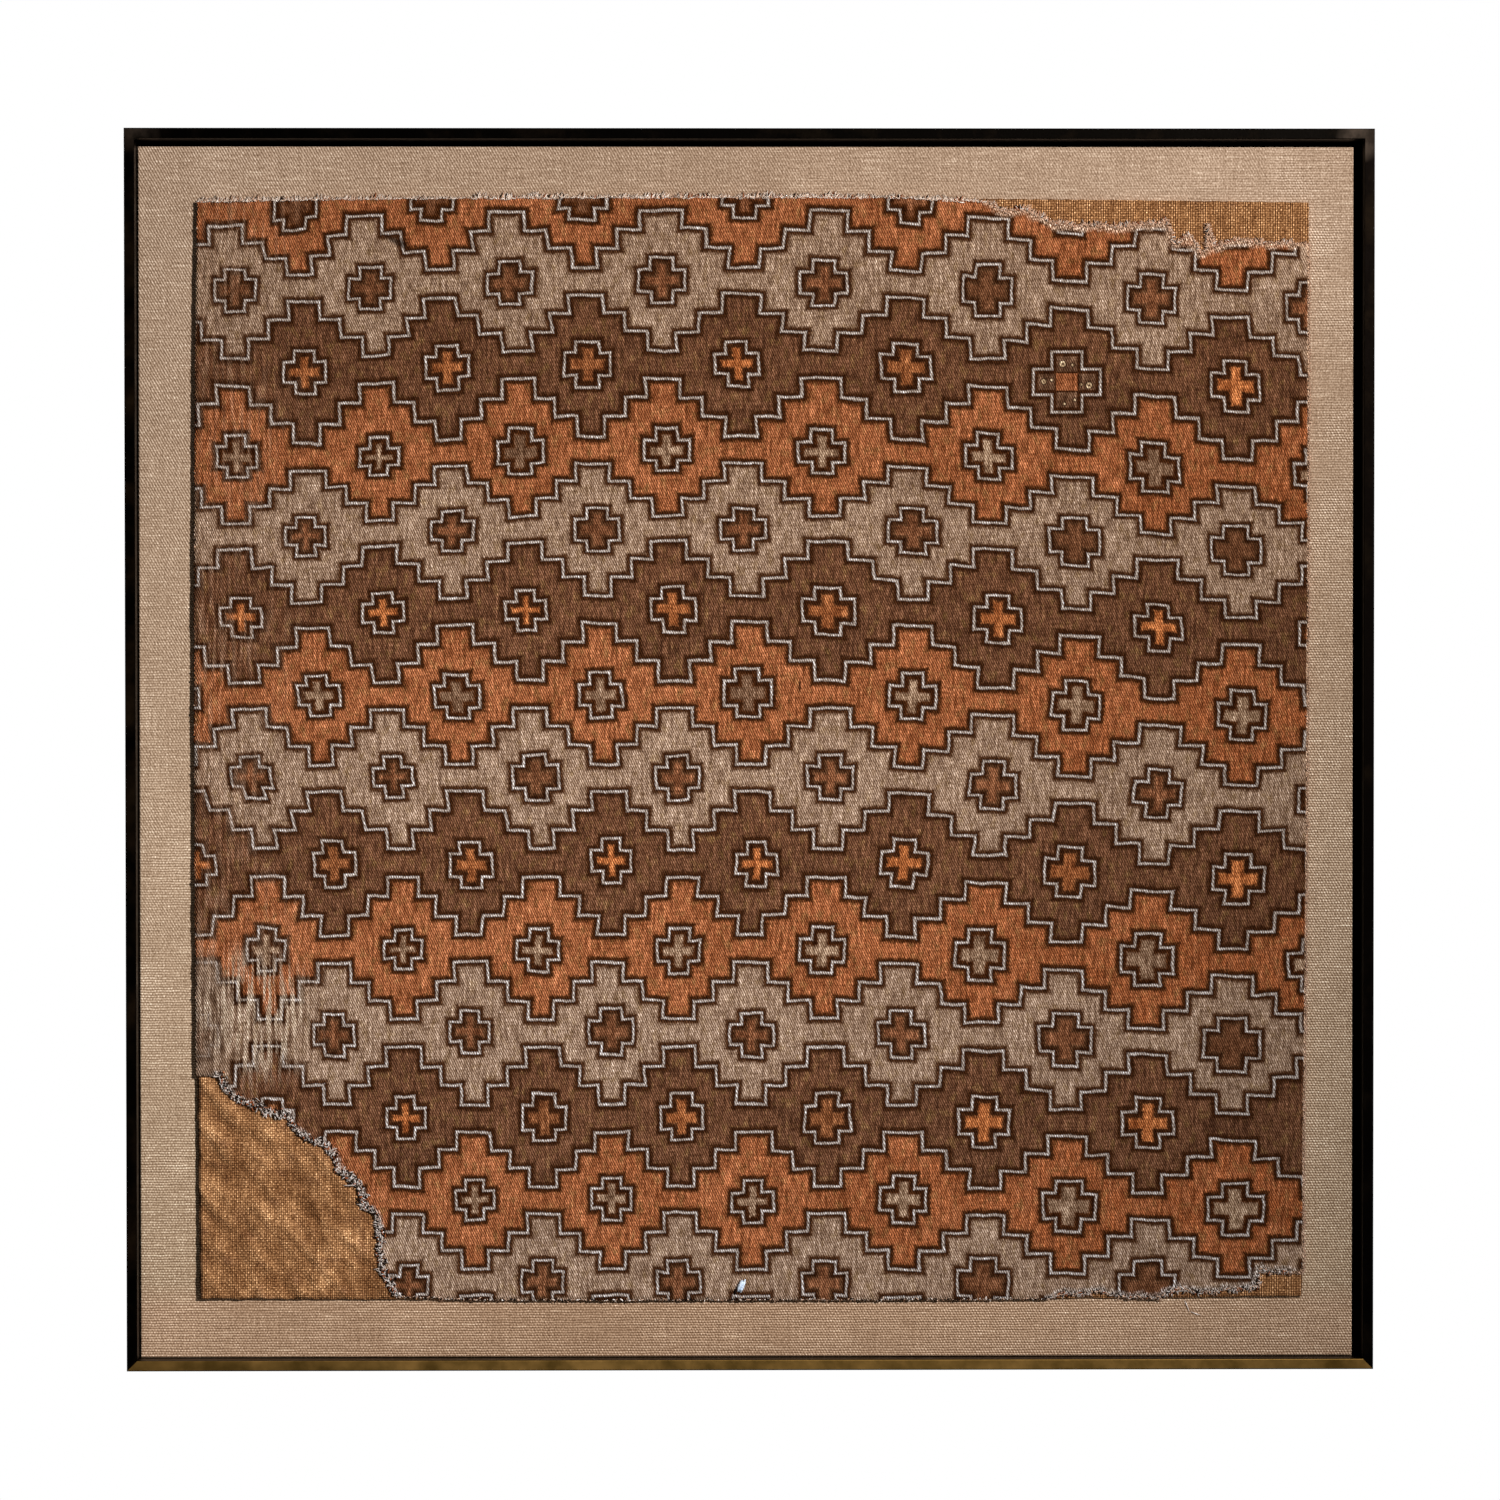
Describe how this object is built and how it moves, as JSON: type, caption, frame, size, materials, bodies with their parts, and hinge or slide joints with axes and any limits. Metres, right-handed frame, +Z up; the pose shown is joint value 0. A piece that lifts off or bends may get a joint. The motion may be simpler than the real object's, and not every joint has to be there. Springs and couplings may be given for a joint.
{
  "type": "painted textile in a metal frame",
  "caption": "Torn old painted cloth with bands of stepped diamonds, sewn to an ochre cloth on a linen-covered board in a slim square metal frame.",
  "frame": {"origin": "middle of the top bar's rear face, which lies on the wall", "axes": "+Z up, +X to the viewer's right, +Y into the wall; the cloth faces -Y"},
  "size_m": [0.75, 0.0286, 0.746],
  "materials": {
    "frame_brass": "dark patinated brass, satin",
    "board": "plain light plywood, matte",
    "linen": "natural plain-weave linen, matte",
    "ochre_cloth": "ochre plain-weave cotton, matte",
    "painted_cloth": "hand-spun plain-weave cotton painted in orange, grey-tan, brown and white, matte and worn"
  },
  "bodies": {
    "root": {"frame_top": "frame_brass", "frame_right": "frame_brass", "frame_bottom": "frame_brass", "frame_left": "frame_brass", "backing_board": "board", "linen_cover": "linen", "support_cloth": "ochre_cloth", "painted_cloth": "painted_cloth"}
  },
  "joints": []
}
